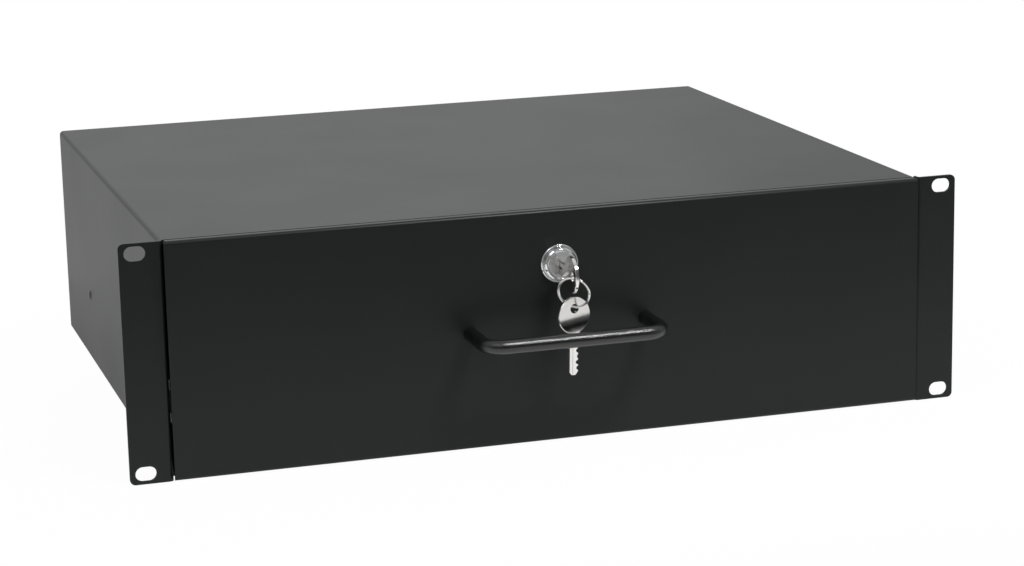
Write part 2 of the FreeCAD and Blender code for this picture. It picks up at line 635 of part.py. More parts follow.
def tray_rear():
    """Rear wall of the tray with its hem folded forwards."""
    mid = TRAY_SHEET / 2
    wall, bottom = TRAY_REAR - mid, TRAY_BOTTOM + mid
    fold = (TRAY_SHEET + HEM_GAP) / 2
    crest = TRAY_TOP - mid - fold
    inner = HALF_TRAY - TRAY_SHEET
    profile = [("line", (wall, bottom), (wall, crest)),
               ("arc", (wall - fold, crest), fold, 0, 180),
               ("line", (wall - 2 * fold, crest), (wall - 2 * fold, TRAY_TOP - HEM))]
    return ribbon(profile, TRAY_SHEET, on_yz(-inner)).extrude(X * (2 * inner))


def corner_tabs():
    """Tabs turned from the front and rear walls, spot-welded inside the tray's sides."""
    inner = HALF_TRAY - TRAY_SHEET
    low, high = TRAY_BOTTOM + TRAY_SHEET + BEND, TRAY_TOP - HEM - CORNER_TAB_DROP
    tabs = []
    for sign in (-1, 1):
        near, far = sorted((sign * inner, sign * (inner - TRAY_SHEET)))
        tabs.append(box(near, far, FRONT_BACK, TRAY_FRONT + CORNER_TAB, low, high))
        tabs.append(box(near, far, TRAY_REAR - TRAY_SHEET - CORNER_TAB, TRAY_REAR, low, high))
    return tabs


def drawer_tray():
    """Open drawer box: bottom and sides, front and rear walls, and corner tabs."""
    inner = HALF_TRAY - TRAY_SHEET
    front = box(-inner, inner, FRONT_BACK, TRAY_FRONT, TRAY_BOTTOM + TRAY_SHEET / 2, TRAY_TOP)
    tray = fused([tray_wrap(), front, tray_rear()] + corner_tabs())
    holes = slide_holes(-HALF_TRAY) + slide_holes(HALF_TRAY)
    return tray.cut(Part.makeCompound(holes + [front_holes(FRONT_BACK - 1, TRAY_SHEET + 2)]))


def handle():
    """Round bar bent twice, with a hole for its screw in each foot."""
    half = HANDLE_SPAN / 2
    front = FRONT_FACE - HANDLE_REACH
    path = bent_path([(-half, FRONT_FACE), (-half, front), (half, front), (half, FRONT_FACE)], HANDLE_BEND)
    edges = []
    for segment in path:
        if segment[0] == "line":
            curve = Part.LineSegment(*[V(u, v, 0) for u, v in segment[1:]])
        else:
            curve = Part.Arc(*[V(u, v, 0) for u, v in arc_points(*segment[1:])])
        edges.append(curve.toShape())
    section = Part.Wire(Part.Circle(V(-half, FRONT_FACE, 0), Y, HANDLE_R).toShape())
    bar = Part.Wire(edges).makePipeShell([section], True, False)
    bores = [rod(HANDLE_SCREW_R + CONTACT_GAP, V(sign * half, FRONT_FACE, 0), -Y, HANDLE_BORE_DEPTH)
             for sign in (-1, 1)]
    return bar.cut(Part.makeCompound(bores))


def handle_screws():
    """Pan-head screws from inside the drawer into the handle's feet."""
    screws = []
    seat = TRAY_FRONT + WASHER_THICK
    length = seat - FRONT_FACE + HANDLE_BORE_DEPTH - HANDLE_BORE_SPARE
    for sign in (-1, 1):
        start = V(sign * HANDLE_SPAN / 2, seat, 0)
        head = pan_head(HANDLE_SCREW_HEAD_R, HANDLE_SCREW_HEAD, start, Y)
        screws.append(fused([head, rod(HANDLE_SCREW_R, start, -Y, length)]))
    return Part.makeCompound(screws)


def handle_washers():
    """Flat washers under the handle screws."""
    washers = []
    for sign in (-1, 1):
        seat = V(sign * HANDLE_SPAN / 2, TRAY_FRONT, 0)
        disc = rod(WASHER_R, seat, Y, WASHER_THICK)
        washers.append(disc.cut(rod(HANDLE_SCREW_R + CONTACT_GAP, seat, Y, WASHER_THICK)))
    return Part.makeCompound(washers)


# ---------- cam lock ----------
def lock_axis_solid(profile):
    """Solid turned about the lock's axis from (radius, y) points."""
    points = [V(LOCK_X + radius, y, LOCK_Z) for radius, y in profile]
    face = Part.Face(Part.makePolygon(points + points[:1]))
    return face.revolve(V(LOCK_X, 0, LOCK_Z), Y, 360)


def lock_housing():
    """Chromed shell: flange, raised bezel, recessed mouth and a barrel with two flats."""
    bore = PLUG_R + PLUG_PLAY
    mouth = PLUG_HEAD_R + PLUG_PLAY
    face = FRONT_FACE - FLANGE_THICK
    rim = FRONT_FACE - BEZEL_REACH
    shelf = PLUG_SHELF + PLUG_PLAY
    profile = [(bore, BARREL_REAR), (bore, shelf), (mouth, shelf), (mouth, rim + MOUTH_FLARE),
               (mouth + MOUTH_FLARE, rim), (BEZEL_R - BEZEL_BEVEL, rim), (BEZEL_R, rim + BEZEL_BEVEL),
               (BEZEL_R, face), (FLANGE_R - FLANGE_BEVEL, face), (FLANGE_R, face + FLANGE_BEVEL),
               (FLANGE_R, FRONT_FACE), (BARREL_R, FRONT_FACE), (BARREL_R, BARREL_REAR - BARREL_BEVEL),
               (BARREL_R - BARREL_BEVEL, BARREL_REAR)]
    flats = []
    for sign in (-1, 1):
        low, high = sorted((LOCK_Z + sign * BARREL_FLAT, LOCK_Z + sign * (BARREL_R + 1)))
        flats.append(box(LOCK_X - BARREL_R, LOCK_X + BARREL_R, FRONT_FACE, BARREL_REAR + 1, low, high))
    return lock_axis_solid(profile).cut(Part.makeCompound(flats))


def lock_nut():
    """Thin hexagon nut with bevelled corners on the barrel, inside the drawer."""
    corner = NUT_FLATS / 2 / cos(radians(30))
    centre = V(LOCK_X, TRAY_FRONT, LOCK_Z)
    rear = TRAY_FRONT + NUT_THICK
    inward, along = NUT_CROWN
    crown = lock_axis_solid([(0, TRAY_FRONT), (corner, TRAY_FRONT), (corner, rear - along),
                             (corner - inward, rear), (0, rear)])
    blank = hexagon(corner, centre, NUT_THICK).common(crown)
    return blank.cut(rod(BARREL_R + CONTACT_GAP, centre, Y, NUT_THICK))


def keyway(start, end, play):
    """Flat slot for the key blade."""
    half = KEY_THICK / 2 + play
    reach = KEY_BLADE_WIDTH / 2 + play
    return box(LOCK_X - half, LOCK_X + half, start, end, KEY_Z - reach, KEY_Z + reach)


def wafer_rows():
    """Front face of each wafer."""
    return [WAFER_FIRST + i * WAFER_PITCH for i in range(WAFERS)]


def lock_plug():
    """Turning cylinder: head, keyway, wafer slots and a square end for the cam."""
    end = CAM_FRONT - CONTACT_GAP
    plug = lock_axis_solid([(0, PLUG_FACE), (PLUG_HEAD_R - PLUG_BEVEL, PLUG_FACE),
                            (PLUG_HEAD_R, PLUG_FACE + PLUG_BEVEL), (PLUG_HEAD_R, PLUG_SHELF),
                            (PLUG_R, PLUG_SHELF), (PLUG_R, end), (0, end)])
    half = CAM_SQUARE / 2
    shank = box(LOCK_X - half, LOCK_X + half, end - 1, CAM_FRONT + CAM_THICK - CONTACT_GAP,
                LOCK_Z - half, LOCK_Z + half)
    cuts = [keyway(PLUG_FACE, PLUG_FACE + KEYWAY_DEPTH, KEYWAY_PLAY),
            rod(CAM_SCREW_R, V(LOCK_X, CAM_FRONT + CAM_THICK, LOCK_Z), -Y, CAM_SCREW_HOLE)]
    wide = WAFER_HALF_WIDTH + WAFER_PLAY
    for y in wafer_rows():
        cuts.append(box(LOCK_X - wide, LOCK_X + wide, y - WAFER_PLAY, y + WAFER_THICK + WAFER_PLAY,
                        LOCK_Z - PLUG_R, LOCK_Z + PLUG_R))
    return fused([plug, shank]).cut(Part.makeCompound(cuts))


def lock_wafers():
    """Sprung plates with a window each, held level by the key."""
    wafers = []
    for y in wafer_rows():
        plate = box(LOCK_X - WAFER_HALF_WIDTH, LOCK_X + WAFER_HALF_WIDTH, y, y + WAFER_THICK,
                    LOCK_Z - WAFER_HALF_HEIGHT, LOCK_Z + WAFER_HALF_HEIGHT)
        pocket = box(LOCK_X + POCKET_INNER, LOCK_X + WAFER_HALF_WIDTH, y, y + WAFER_THICK,
                     LOCK_Z + SPRING_RISE - POCKET_PLAY, LOCK_Z + SPRING_RISE + SPRING_LENGTH + POCKET_PLAY)
        wafers.append(plate.cut(keyway(y, y + WAFER_THICK, WAFER_WINDOW_PLAY)).cut(pocket))
    return Part.makeCompound(wafers)


def wafer_springs():
    """Small upright springs beside the wafers, as plain rods of the coils' outer size."""
    return Part.makeCompound([rod(SPRING_R, V(LOCK_X + SPRING_ACROSS, y + WAFER_THICK / 2,
                                              LOCK_Z + SPRING_RISE), Z, SPRING_LENGTH)
                              for y in wafer_rows()])


def lock_cam():
    """Flat latch bar on the plug's square end, pointing left while the drawer is unlocked."""
    tip = LOCK_X - CAM_LENGTH
    half_arm = CAM_ARM_WIDTH / 2
    hub = rod(CAM_WIDTH / 2, V(LOCK_X, CAM_FRONT, LOCK_Z), Y, CAM_THICK)
    arm = box(tip, LOCK_X, CAM_FRONT, CAM_FRONT + CAM_THICK, LOCK_Z - half_arm, LOCK_Z + half_arm)
    arm = turned_corners(arm, CAM_TIP_CORNER, CAM_THICK, lambda point: abs(point.x - tip) < 1e-6)
    half = CAM_SQUARE / 2 + CONTACT_GAP
    square = box(LOCK_X - half, LOCK_X + half, CAM_FRONT, CAM_FRONT + CAM_THICK,
                 LOCK_Z - half, LOCK_Z + half)
    return fused([hub, arm]).cut(square)


def cam_washer():
    """Spring washer behind the cam, slit at the top."""
    seat = V(LOCK_X, CAM_FRONT + CAM_THICK, LOCK_Z)
    ring = rod(CAM_WASHER_R, seat, Y, CAM_WASHER_THICK)
    ring = ring.cut(rod(CAM_SCREW_R + CONTACT_GAP, seat, Y, CAM_WASHER_THICK))
    half = CAM_WASHER_SLIT / 2
    return ring.cut(box(LOCK_X - half, LOCK_X + half, seat.y, seat.y + CAM_WASHER_THICK,
                        LOCK_Z, LOCK_Z + CAM_WASHER_R))


def cam_screw():
    """Hexagon-head screw into the plug."""
    seat = V(LOCK_X, CAM_FRONT + CAM_THICK + CAM_WASHER_THICK, LOCK_Z)
    head = hexagon(CAM_SCREW_HEAD_R, seat, CAM_SCREW_HEAD)
    return fused([head, rod(CAM_SCREW_R, seat, -Y, CAM_SCREW_LENGTH)])


# ---------- keys and ring ----------
def key_shank():
    """Neck and cut blade of a key, down -Z from its bow, with the cuts on the +Y edge."""
    neck, blade = KEY_NECK_WIDTH / 2, KEY_BLADE_WIDTH / 2
    shoulder = -KEY_NECK_ROOT - KEY_NECK
    tip = shoulder - KEY_BLADE
    front, back, slant = KEY_TIP
    pitch = (KEY_BLADE - KEY_CUT_END) / len(KEY_CUT_DEPTHS)
    outline = [(-neck, 0), (neck, 0), (neck, shoulder), (blade, shoulder)]
    level = shoulder - KEY_CUT_START
    for depth in KEY_CUT_DEPTHS:
        outline += [(blade, level), (blade - depth, level - pitch * 0.35),
                    (blade - depth, level - pitch * 0.65)]
        level -= pitch
    outline += [(blade, level), (front, tip), (back, tip), (-blade, tip + slant),
                (-blade, shoulder), (-neck, shoulder)]
    points = [V(-KEY_THICK / 2, u, v) for u, v in outline]
    return Part.Face(Part.makePolygon(points + points[:1])).extrude(X * KEY_THICK)


def key_blank():
    """Key with its bow centre at the origin, its blade down -Z and its thickness along X."""
    half = KEY_THICK / 2
    bow = rod(KEY_BOW_R, V(-half, 0, 0), X, KEY_THICK)
    rim = [edge for edge in bow.Edges if edge.Closed and edge.Length > KEY_BOW_R]
    bow = bow.makeChamfer(KEY_EDGE, rim)
    low = -KEY_NECK_ROOT - KEY_NECK - KEY_BLADE
    high = low + KEY_BLADE + KEY_NECK / 2
    grooves = [box(half - KEY_GROOVE, half, -KEY_BLADE_WIDTH * 0.3, -KEY_BLADE_WIDTH * 0.1, low, high),
               box(-half, KEY_GROOVE - half, 0, KEY_BLADE_WIDTH * 0.2, low, high)]
    hole = rod(KEY_HOLE_R, V(-half, 0, KEY_HOLE_RISE), X, KEY_THICK)
    return fused([bow, key_shank()]).cut(Part.makeCompound(grooves + [hole]))


def lock_key():
    """Key in the lock: bow upright, blade along +Y in the keyway, cuts upwards."""
    key = key_blank()
    key.rotate(V(0, 0, 0), X, 90)
    key.translate(V(LOCK_X, KEY_BOW_Y, KEY_Z))
    return key


def split_ring():
    """Steel split ring: two turns of flattened wire side by side, with the outer end cut off square."""
    high, deep, soft = RING_HIGH / 2, RING_DEEP, RING_EDGE
    section = [(RING_R - high, soft), (RING_R - high + soft, 0), (RING_R + high - soft, 0),
               (RING_R + high, soft), (RING_R + high, deep - soft), (RING_R + high - soft, deep),
               (RING_R - high + soft, deep), (RING_R - high, deep - soft)]
    turns = []
    for side in (-1, 1):
        points = [V(radius, side * (deep - along), 0) for radius, along in section]
        turns.append(Part.Face(Part.makePolygon(points + points[:1])).revolve(V(0, 0, 0), Y, 360))
    half = RING_END_CUT / 2
    ring = fused(turns).cut(box(RING_R - RING_HIGH, RING_R + RING_HIGH, -deep, 0, -half, half))
    ring.rotate(V(0, 0, 0), X, RING_TILT)
    ring.rotate(V(0, 0, 0), Z, -RING_YAW)
    ring.translate(RING_CENTRE)
    return ring


def spare_key():
    """Second key hanging from the ring, behind the handle, with its cuts to the right."""
    key = key_blank()
    key.translate(Z * -KEY_HOLE_RISE)
    key.rotate(V(0, 0, 0), X, -SPARE_LEAN)
    key.rotate(V(0, 0, 0), Z, -90 - SPARE_YAW)
    key.translate(SPARE_HOLE)
    return key


# ---------- output ----------
def main():
    """Write every sub-part."""
    os.makedirs("parts", exist_ok=True)
    for build in (slide_outer, slide_inner, ball_cage, slide_balls):
        left = build()
        save(build.__name__ + "_left", left)
        save(build.__name__ + "_right", mirrored(left))
    for build in (chassis_shell, floor_pan, floor_rivets, back_panel, back_panel_screws, lock_strike,
                  outer_slide_rivets, inner_slide_rivets, drawer_tray, drawer_front, handle,
                  handle_screws, handle_washers, lock_housing, lock_nut, lock_plug, lock_wafers,
                  wafer_springs, lock_cam, cam_washer, cam_screw, lock_key, split_ring, spare_key):
        save(build.__name__, build())


main()
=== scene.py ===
from math import cos, radians, sin

import bmesh
import bpy
from mathutils import Matrix, Vector


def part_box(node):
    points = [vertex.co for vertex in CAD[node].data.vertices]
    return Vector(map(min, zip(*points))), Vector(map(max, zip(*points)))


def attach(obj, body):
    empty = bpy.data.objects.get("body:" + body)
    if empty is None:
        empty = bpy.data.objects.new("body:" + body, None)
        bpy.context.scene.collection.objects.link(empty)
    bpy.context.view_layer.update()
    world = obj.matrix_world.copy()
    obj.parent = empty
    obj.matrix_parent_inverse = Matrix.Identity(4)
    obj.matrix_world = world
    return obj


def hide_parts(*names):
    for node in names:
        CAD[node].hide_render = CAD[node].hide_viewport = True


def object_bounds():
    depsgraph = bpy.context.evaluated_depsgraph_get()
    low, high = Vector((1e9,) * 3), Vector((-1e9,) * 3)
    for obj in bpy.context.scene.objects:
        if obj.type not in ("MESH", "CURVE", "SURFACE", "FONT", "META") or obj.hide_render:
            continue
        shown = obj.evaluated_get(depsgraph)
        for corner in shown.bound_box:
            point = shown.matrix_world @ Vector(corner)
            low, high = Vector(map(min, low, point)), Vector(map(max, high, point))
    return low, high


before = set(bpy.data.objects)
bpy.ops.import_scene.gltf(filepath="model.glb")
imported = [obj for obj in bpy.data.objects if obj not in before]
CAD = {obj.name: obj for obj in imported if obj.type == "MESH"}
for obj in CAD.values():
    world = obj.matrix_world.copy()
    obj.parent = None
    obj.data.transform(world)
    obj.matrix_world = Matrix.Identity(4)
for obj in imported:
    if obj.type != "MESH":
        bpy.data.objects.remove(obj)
cad_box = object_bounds()


# ---------- camera ----------
# A long lens in front of the drawer, a little to its left and above it, aimed close to the
# middle of the front.
AZIMUTH, ELEVATION, ROLL = radians(-17.0), radians(13.149), radians(-1.2655)
DISTANCE, AIM_RIGHT, AIM_UP = 1.5226, -0.02508, 0.0231
LENS = 96.64
VIEW_DEPTH = 50

back = Vector((sin(AZIMUTH) * cos(ELEVATION), -cos(AZIMUTH) * cos(ELEVATION), sin(ELEVATION)))
level = (-back).cross(Vector((0, 0, 1))).normalized()
upright = level.cross(-back)
right = level * cos(ROLL) + upright * sin(ROLL)
up = upright * cos(ROLL) - level * sin(ROLL)
ear_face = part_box("chassis_shell")[0].y
stand = Vector((0, ear_face, 0)) + back * DISTANCE + right * AIM_RIGHT + up * AIM_UP

camera = bpy.data.objects.new("camera", bpy.data.cameras.new("camera"))
camera.data.lens = LENS
camera.data.clip_end = VIEW_DEPTH
camera.matrix_world = Matrix.Translation(stand) @ Matrix((right, up, back)).transposed().to_4x4()
bpy.context.scene.collection.objects.link(camera)
bpy.context.scene.camera = camera
bpy.context.scene.view_settings.view_transform = "Standard"


# ---------- studio ----------
# White paper under the drawer in a white room, lit by soft boxes from above. Towards the camera
# the room is darker in reflections and the paper carries painted shade that turns it grey, so the
# black front is darker at its top.
ROOM_DIFFUSE = 0.4                 # the room's light on the object
ROOM_FRONT, ROOM_BACK = 0.095, 0.69     # its brightness in reflections
ROOM_TURN = (-0.7, 0.3)            # directions along Y over which it changes
PAPER_SIZE, PAPER_DROP = 12.0, 0.0002
# The paper's grey towards the camera is painted shade; near the drawer it is white.
PAINTED_PAPER_SHADE, PAPER_WHITE = 0.2, 0.9
PAPER_TURN = (-0.4, -0.14)         # places along Y over which it changes
GLOW_MIRRORED = 0.42               # the white paper's glow in reflections
GLOW_REACH = (0.2, 0.6)            # the shadow fades out over these distances
GLOW_LEAST = 0.97
LAMPS = {                          # place, point aimed at, width and height, watts
    "key_light": ((-0.9, -1.1, 1.5), (0, 0.1, 0), (1.2, 1.2), 7),
    "fill_light": ((1.3, -0.9, 0.9), (0, 0.1, 0), (1.0, 1.0), 0.8),
    "strip_light": ((0.42, -0.8, 1.2), (0, 0, 0), (0.4, 0.17), 15),
    "back_light": ((0, 2.0, 1.0), (0, 0.2, 0), (1.8, 0.7), 2.2),
}


def worked(tree, operation, first, second):
    """Two values worked into one; the second may be a number."""
    node = tree.nodes.new("ShaderNodeMath")
    node.operation = operation
    tree.links.new(first, node.inputs[0])
    if isinstance(second, float):
        node.inputs[1].default_value = second
    else:
        tree.links.new(second, node.inputs[1])
    return node.outputs[0]


def along_y(tree, vector):
    """The Y part of a place or a direction."""
    parts = tree.nodes.new("ShaderNodeSeparateXYZ")
    tree.links.new(vector, parts.inputs[0])
    return parts.outputs["Y"]


def ramp(tree, value, places, results):
    """Smooth change from one result to the other between two places."""
    node = tree.nodes.new("ShaderNodeMapRange")
    node.interpolation_type = "SMOOTHSTEP"
    for name, number in zip(("From Min", "From Max", "To Min", "To Max"), (*places, *results)):
        node.inputs[name].default_value = number
    tree.links.new(value, node.inputs["Value"])
    return node.outputs[0]


def white_room():
    """World: plain white where it is looked at, darker towards the front in reflections."""
    world = bpy.data.worlds.new("studio")
    world.use_nodes = True
    tree = world.node_tree
    tree.nodes.clear()
    ray = tree.nodes.new("ShaderNodeLightPath").outputs
    facing = tree.nodes.new("ShaderNodeTexCoord").outputs["Generated"]
    depth = ramp(tree, along_y(tree, facing), ROOM_TURN, (ROOM_FRONT, ROOM_BACK))
    seen = worked(tree, "MAXIMUM", ray["Is Camera Ray"], ray["Is Transmission Ray"])
    mirrored = worked(tree, "MULTIPLY", ray["Is Glossy Ray"], depth)
    lit = worked(tree, "MULTIPLY", ray["Is Diffuse Ray"], ROOM_DIFFUSE)
    glow = tree.nodes.new("ShaderNodeBackground")
    glow.inputs["Color"].default_value = (1, 1, 1, 1)
    strength = worked(tree, "MAXIMUM", worked(tree, "MAXIMUM", seen, mirrored), lit)
    tree.links.new(strength, glow.inputs["Strength"])
    output = tree.nodes.new("ShaderNodeOutputWorld")
    tree.links.new(glow.outputs[0], output.inputs["Surface"])
    return world


def white_paper():
    """Floor: white paper, greyed by painted shade towards the camera, that glows where it is looked at.
    """
    paper = bpy.data.materials.new("white_paper")
    paper.use_nodes = True
    tree = paper.node_tree
    tree.nodes.clear()
    ray = tree.nodes.new("ShaderNodeLightPath").outputs
    spot = tree.nodes.new("ShaderNodeTexCoord").outputs["Object"]
    away = tree.nodes.new("ShaderNodeVectorMath")
    away.operation = "LENGTH"
    tree.links.new(spot, away.inputs[0])
    depth = along_y(tree, spot)
    fade = ramp(tree, away.outputs["Value"], GLOW_REACH, (GLOW_LEAST, 1.0))
    # Painted shade: the paper's colour turns grey towards the camera.
    painted_shade = ramp(tree, depth, PAPER_TURN, (PAINTED_PAPER_SHADE, PAPER_WHITE))
    seen = worked(tree, "MAXIMUM", ray["Is Camera Ray"], ray["Is Transmission Ray"])
    mirrored = worked(tree, "MULTIPLY", ray["Is Glossy Ray"],
                      ramp(tree, depth, PAPER_TURN, (0.0, GLOW_MIRRORED)))
    share = worked(tree, "MULTIPLY", worked(tree, "MAXIMUM", seen, mirrored), fade)
    matt = tree.nodes.new("ShaderNodeBsdfDiffuse")
    glow = tree.nodes.new("ShaderNodeEmission")
    blend = tree.nodes.new("ShaderNodeMixShader")
    output = tree.nodes.new("ShaderNodeOutputMaterial")
    for start, end in ((painted_shade, matt.inputs["Color"]), (share, blend.inputs[0]),
                       (matt.outputs[0], blend.inputs[1]), (glow.outputs[0], blend.inputs[2]),
                       (blend.outputs[0], output.inputs["Surface"])):
        tree.links.new(start, end)
    return paper


def soft_box(name, place, aim, size, watts):
    """Rectangular area lamp facing a point."""
    lamp = bpy.data.lights.new(name, "AREA")
    lamp.shape = "RECTANGLE"
    lamp.size, lamp.size_y = size
    lamp.energy = watts
    box = bpy.data.objects.new(name, lamp)
    box.location = place
    box.rotation_euler = (Vector(aim) - Vector(place)).to_track_quat("-Z", "Y").to_euler()
    box.visible_camera = False
    bpy.context.scene.collection.objects.link(box)


bpy.context.scene.world = white_room()
for name, settings in LAMPS.items():
    soft_box(name, *settings)

sheet = bmesh.new()
bmesh.ops.create_grid(sheet, x_segments=1, y_segments=1, size=PAPER_SIZE / 2)
bmesh.ops.translate(sheet, verts=sheet.verts, vec=(0, 0, cad_box[0].z - PAPER_DROP))
floor_mesh = bpy.data.meshes.new("floor")
sheet.to_mesh(floor_mesh)
sheet.free()
floor = bpy.data.objects.new("floor", floor_mesh)
floor.data.materials.append(white_paper())
bpy.context.scene.collection.objects.link(floor)


# ---------- chassis shell ----------
# Top, sides, ears and flanges bent from one 1.5 mm steel sheet and powder-coated black.
# The coat is satin, with a fine orange peel, and rounds the cut edges a little.
COAT_DARK, COAT_LIGHT = (0.0058, 0.0080, 0.0074), (0.0082, 0.0110, 0.0102)
COAT_ROUGHNESS, COAT_SPECULAR = 0.4, 0.3
COAT_SPREAD = 0.03                 # uneven gloss, either way
CLOUD_SCALE, CLOUD_DETAIL = 14, 3
PEEL_SCALE, PEEL_DEPTH = 1400, 0.00003
GRAIN_DETAIL, GRAIN_STRENGTH = 2, 0.35
COAT_ROUNDING = 0.00035
ROUNDING_SEGMENTS, SHARP_ANGLE = 3, radians(35)
MERGE_REACH = 2e-6
FLAT_ANGLE = radians(0.5)          # faces this close to level with each other are one flat
FLAT_SHARE = 3                     # a face this many times larger than the next is beside a bend


def new_finish(name):
    """Material, its node tree and shader, and the place that its patterns are read at."""
    material = bpy.data.materials.new(name)
    material.use_nodes = True
    tree = material.node_tree
    spot = tree.nodes.new("ShaderNodeTexCoord").outputs["Object"]
    return material, tree, tree.nodes["Principled BSDF"], spot


def noise(tree, spot, scale, detail):
    """Irregular pattern."""
    texture = tree.nodes.new("ShaderNodeTexNoise")
    texture.inputs["Scale"].default_value = scale
    texture.inputs["Detail"].default_value = detail
    tree.links.new(spot, texture.inputs["Vector"])
    return texture.outputs["Fac"]


def two_tones(tree, shader, pattern, dark, light):
    """Colour that drifts between two tones."""
    tone = tree.nodes.new("ShaderNodeMix")
    tone.data_type = "RGBA"
    tone.inputs["A"].default_value = (*dark, 1)
    tone.inputs["B"].default_value = (*light, 1)
    tree.links.new(pattern, tone.inputs["Factor"])
    tree.links.new(tone.outputs["Result"], shader.inputs["Base Color"])


def uneven_gloss(tree, shader, pattern, least, most):
    """Roughness that drifts between two values."""
    gloss = tree.nodes.new("ShaderNodeMapRange")
    gloss.inputs["To Min"].default_value = least
    gloss.inputs["To Max"].default_value = most
    tree.links.new(pattern, gloss.inputs["Value"])
    tree.links.new(gloss.outputs["Result"], shader.inputs["Roughness"])


def raised_grain(tree, shader, pattern, strength, depth):
    """Fine relief."""
    bump = tree.nodes.new("ShaderNodeBump")
    bump.inputs["Strength"].default_value = strength
    bump.inputs["Distance"].default_value = depth
    tree.links.new(pattern, bump.inputs["Height"])
    tree.links.new(bump.outputs["Normal"], shader.inputs["Normal"])


def powder_coat(name, tones, roughness, specular, grain_scale, grain_depth):
    """Black coat: a faint cloudiness in colour and gloss, and a fine grain."""
    coat, tree, shader, spot = new_finish(name)
    shader.inputs["Specular IOR Level"].default_value = specular
    cloud = noise(tree, spot, CLOUD_SCALE, CLOUD_DETAIL)
    two_tones(tree, shader, cloud, *tones)
    uneven_gloss(tree, shader, cloud, roughness - COAT_SPREAD, roughness + COAT_SPREAD)
    raised_grain(tree, shader, noise(tree, spot, grain_scale, GRAIN_DETAIL), GRAIN_STRENGTH, grain_depth)
    return coat


def whole_faces(node):
    """A CAD node's triangles joined into whole faces, with the flats beside bends kept flat."""
    shape = bmesh.new()
    shape.from_mesh(CAD[node].data)
    bmesh.ops.remove_doubles(shape, verts=shape.verts, dist=MERGE_REACH)
    bmesh.ops.dissolve_limit(shape, angle_limit=FLAT_ANGLE, verts=shape.verts, edges=shape.edges)
    bmesh.ops.recalc_face_normals(shape, faces=shape.faces)
    for edge in shape.edges:
        areas = sorted(face.calc_area() for face in edge.link_faces)
        if len(areas) == 2 and areas[1] > areas[0] * FLAT_SHARE and edge.calc_face_angle() > FLAT_ANGLE:
            edge.smooth = False
    return shape


def new_piece(name, shape, node, body, material):
    """Make a shape the piece that takes a CAD node's place on its body."""
    mesh = bpy.data.meshes.new(name)
    shape.to_mesh(mesh)
    shape.free()
    piece = bpy.data.objects.new(name, mesh)
    bpy.context.scene.collection.objects.link(piece)
    mesh.materials.append(material)
    mesh.shade_smooth()
    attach(piece, body)
    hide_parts(node)
    return piece


def round_edges(piece, width):
    """Round every sharp edge of a piece."""
    rounding = piece.modifiers.new("rounded_edges", "BEVEL")
    rounding.width = width
    rounding.segments = ROUNDING_SEGMENTS
    rounding.limit_method = "ANGLE"
    rounding.angle_limit = SHARP_ANGLE
    rounding.harden_normals = True


def finished(name, node, body, material, rounding):
    """A CAD node's shape with its finish and rounded edges."""
    round_edges(new_piece(name, whole_faces(node), node, body, material), rounding)


black_coat = powder_coat("black_powder_coat", (COAT_DARK, COAT_LIGHT), COAT_ROUGHNESS, COAT_SPECULAR,
                         PEEL_SCALE, PEEL_DEPTH)
finished("folded_shell", "chassis_shell", "chassis", black_coat, COAT_ROUNDING)


# ---------- floor pan and back panel ----------
# Both are 1.5 mm steel sheet and wear the shell's coat. The floor is riveted to the shell's
# bottom flanges and turned up at the rear. The back panel is screwed to that turn-up and to
# the shell's rear flanges.
for node in ("floor_pan", "back_panel"):
    finished(node + "_coated", node, "chassis", black_coat, COAT_ROUNDING)


# ---------- rivets and screws of the chassis ----------
# Black-plated steel, a little glossier than the coat: countersunk rivets in the floor,
# pan-head screws in the back panel, and rivets that hold the outer slide members.
PLATED_DARK, PLATED_LIGHT = (0.012, 0.012, 0.013), (0.019, 0.019, 0.02)
PLATED_ROUGHNESS, PLATED_SPECULAR = 0.3, 0.5
PLATED_GRAIN, PLATED_GRAIN_DEPTH = 900, 0.00001


def surfaced(node, material):
    """Give a CAD node its finish."""
    CAD[node].data.materials.clear()
    CAD[node].data.materials.append(material)


black_plated = powder_coat("black_plated_steel", (PLATED_DARK, PLATED_LIGHT), PLATED_ROUGHNESS,
                           PLATED_SPECULAR, PLATED_GRAIN, PLATED_GRAIN_DEPTH)
for node in ("floor_rivets", "back_panel_screws", "outer_slide_rivets"):
    surfaced(node, black_plated)


# ---------- lock strike ----------
# A bracket folded from 2 mm steel, bright zinc-plated and spot-welded under the chassis top.
# The lock's cam turns up behind it.
ZINC, ZINC_ROUGHNESS = (0.8, 0.81, 0.84), 0.34
MOTTLE_SCALE, MOTTLE_DETAIL, MOTTLE_SHADE = 160, 2, 0.86
ROLLING_SCALE, ROLLING_DETAIL = 900, 4
ROLLING_STRETCH = (1, 0.04, 1)     # the rolling lines run along Y
ROLLING_STRENGTH, ROLLING_DEPTH = 0.15, 0.00002
ROLLING_SPREAD = 0.06
STRIP_ROUNDING = 0.00015


def rolled_metal(name, colour, roughness):
    """Bare or plated metal: mottled, with soft lines from rolling."""
    metal, tree, shader, spot = new_finish(name)
    shader.inputs["Metallic"].default_value = 1.0
    stretch = tree.nodes.new("ShaderNodeMapping")
    stretch.inputs["Scale"].default_value = ROLLING_STRETCH
    tree.links.new(spot, stretch.inputs["Vector"])
    lines = noise(tree, stretch.outputs["Vector"], ROLLING_SCALE, ROLLING_DETAIL)
    mottle = noise(tree, spot, MOTTLE_SCALE, MOTTLE_DETAIL)
    two_tones(tree, shader, mottle, [part * MOTTLE_SHADE for part in colour], colour)
    uneven_gloss(tree, shader, lines, roughness - ROLLING_SPREAD, roughness + ROLLING_SPREAD)
    raised_grain(tree, shader, lines, ROLLING_STRENGTH, ROLLING_DEPTH)
    return metal


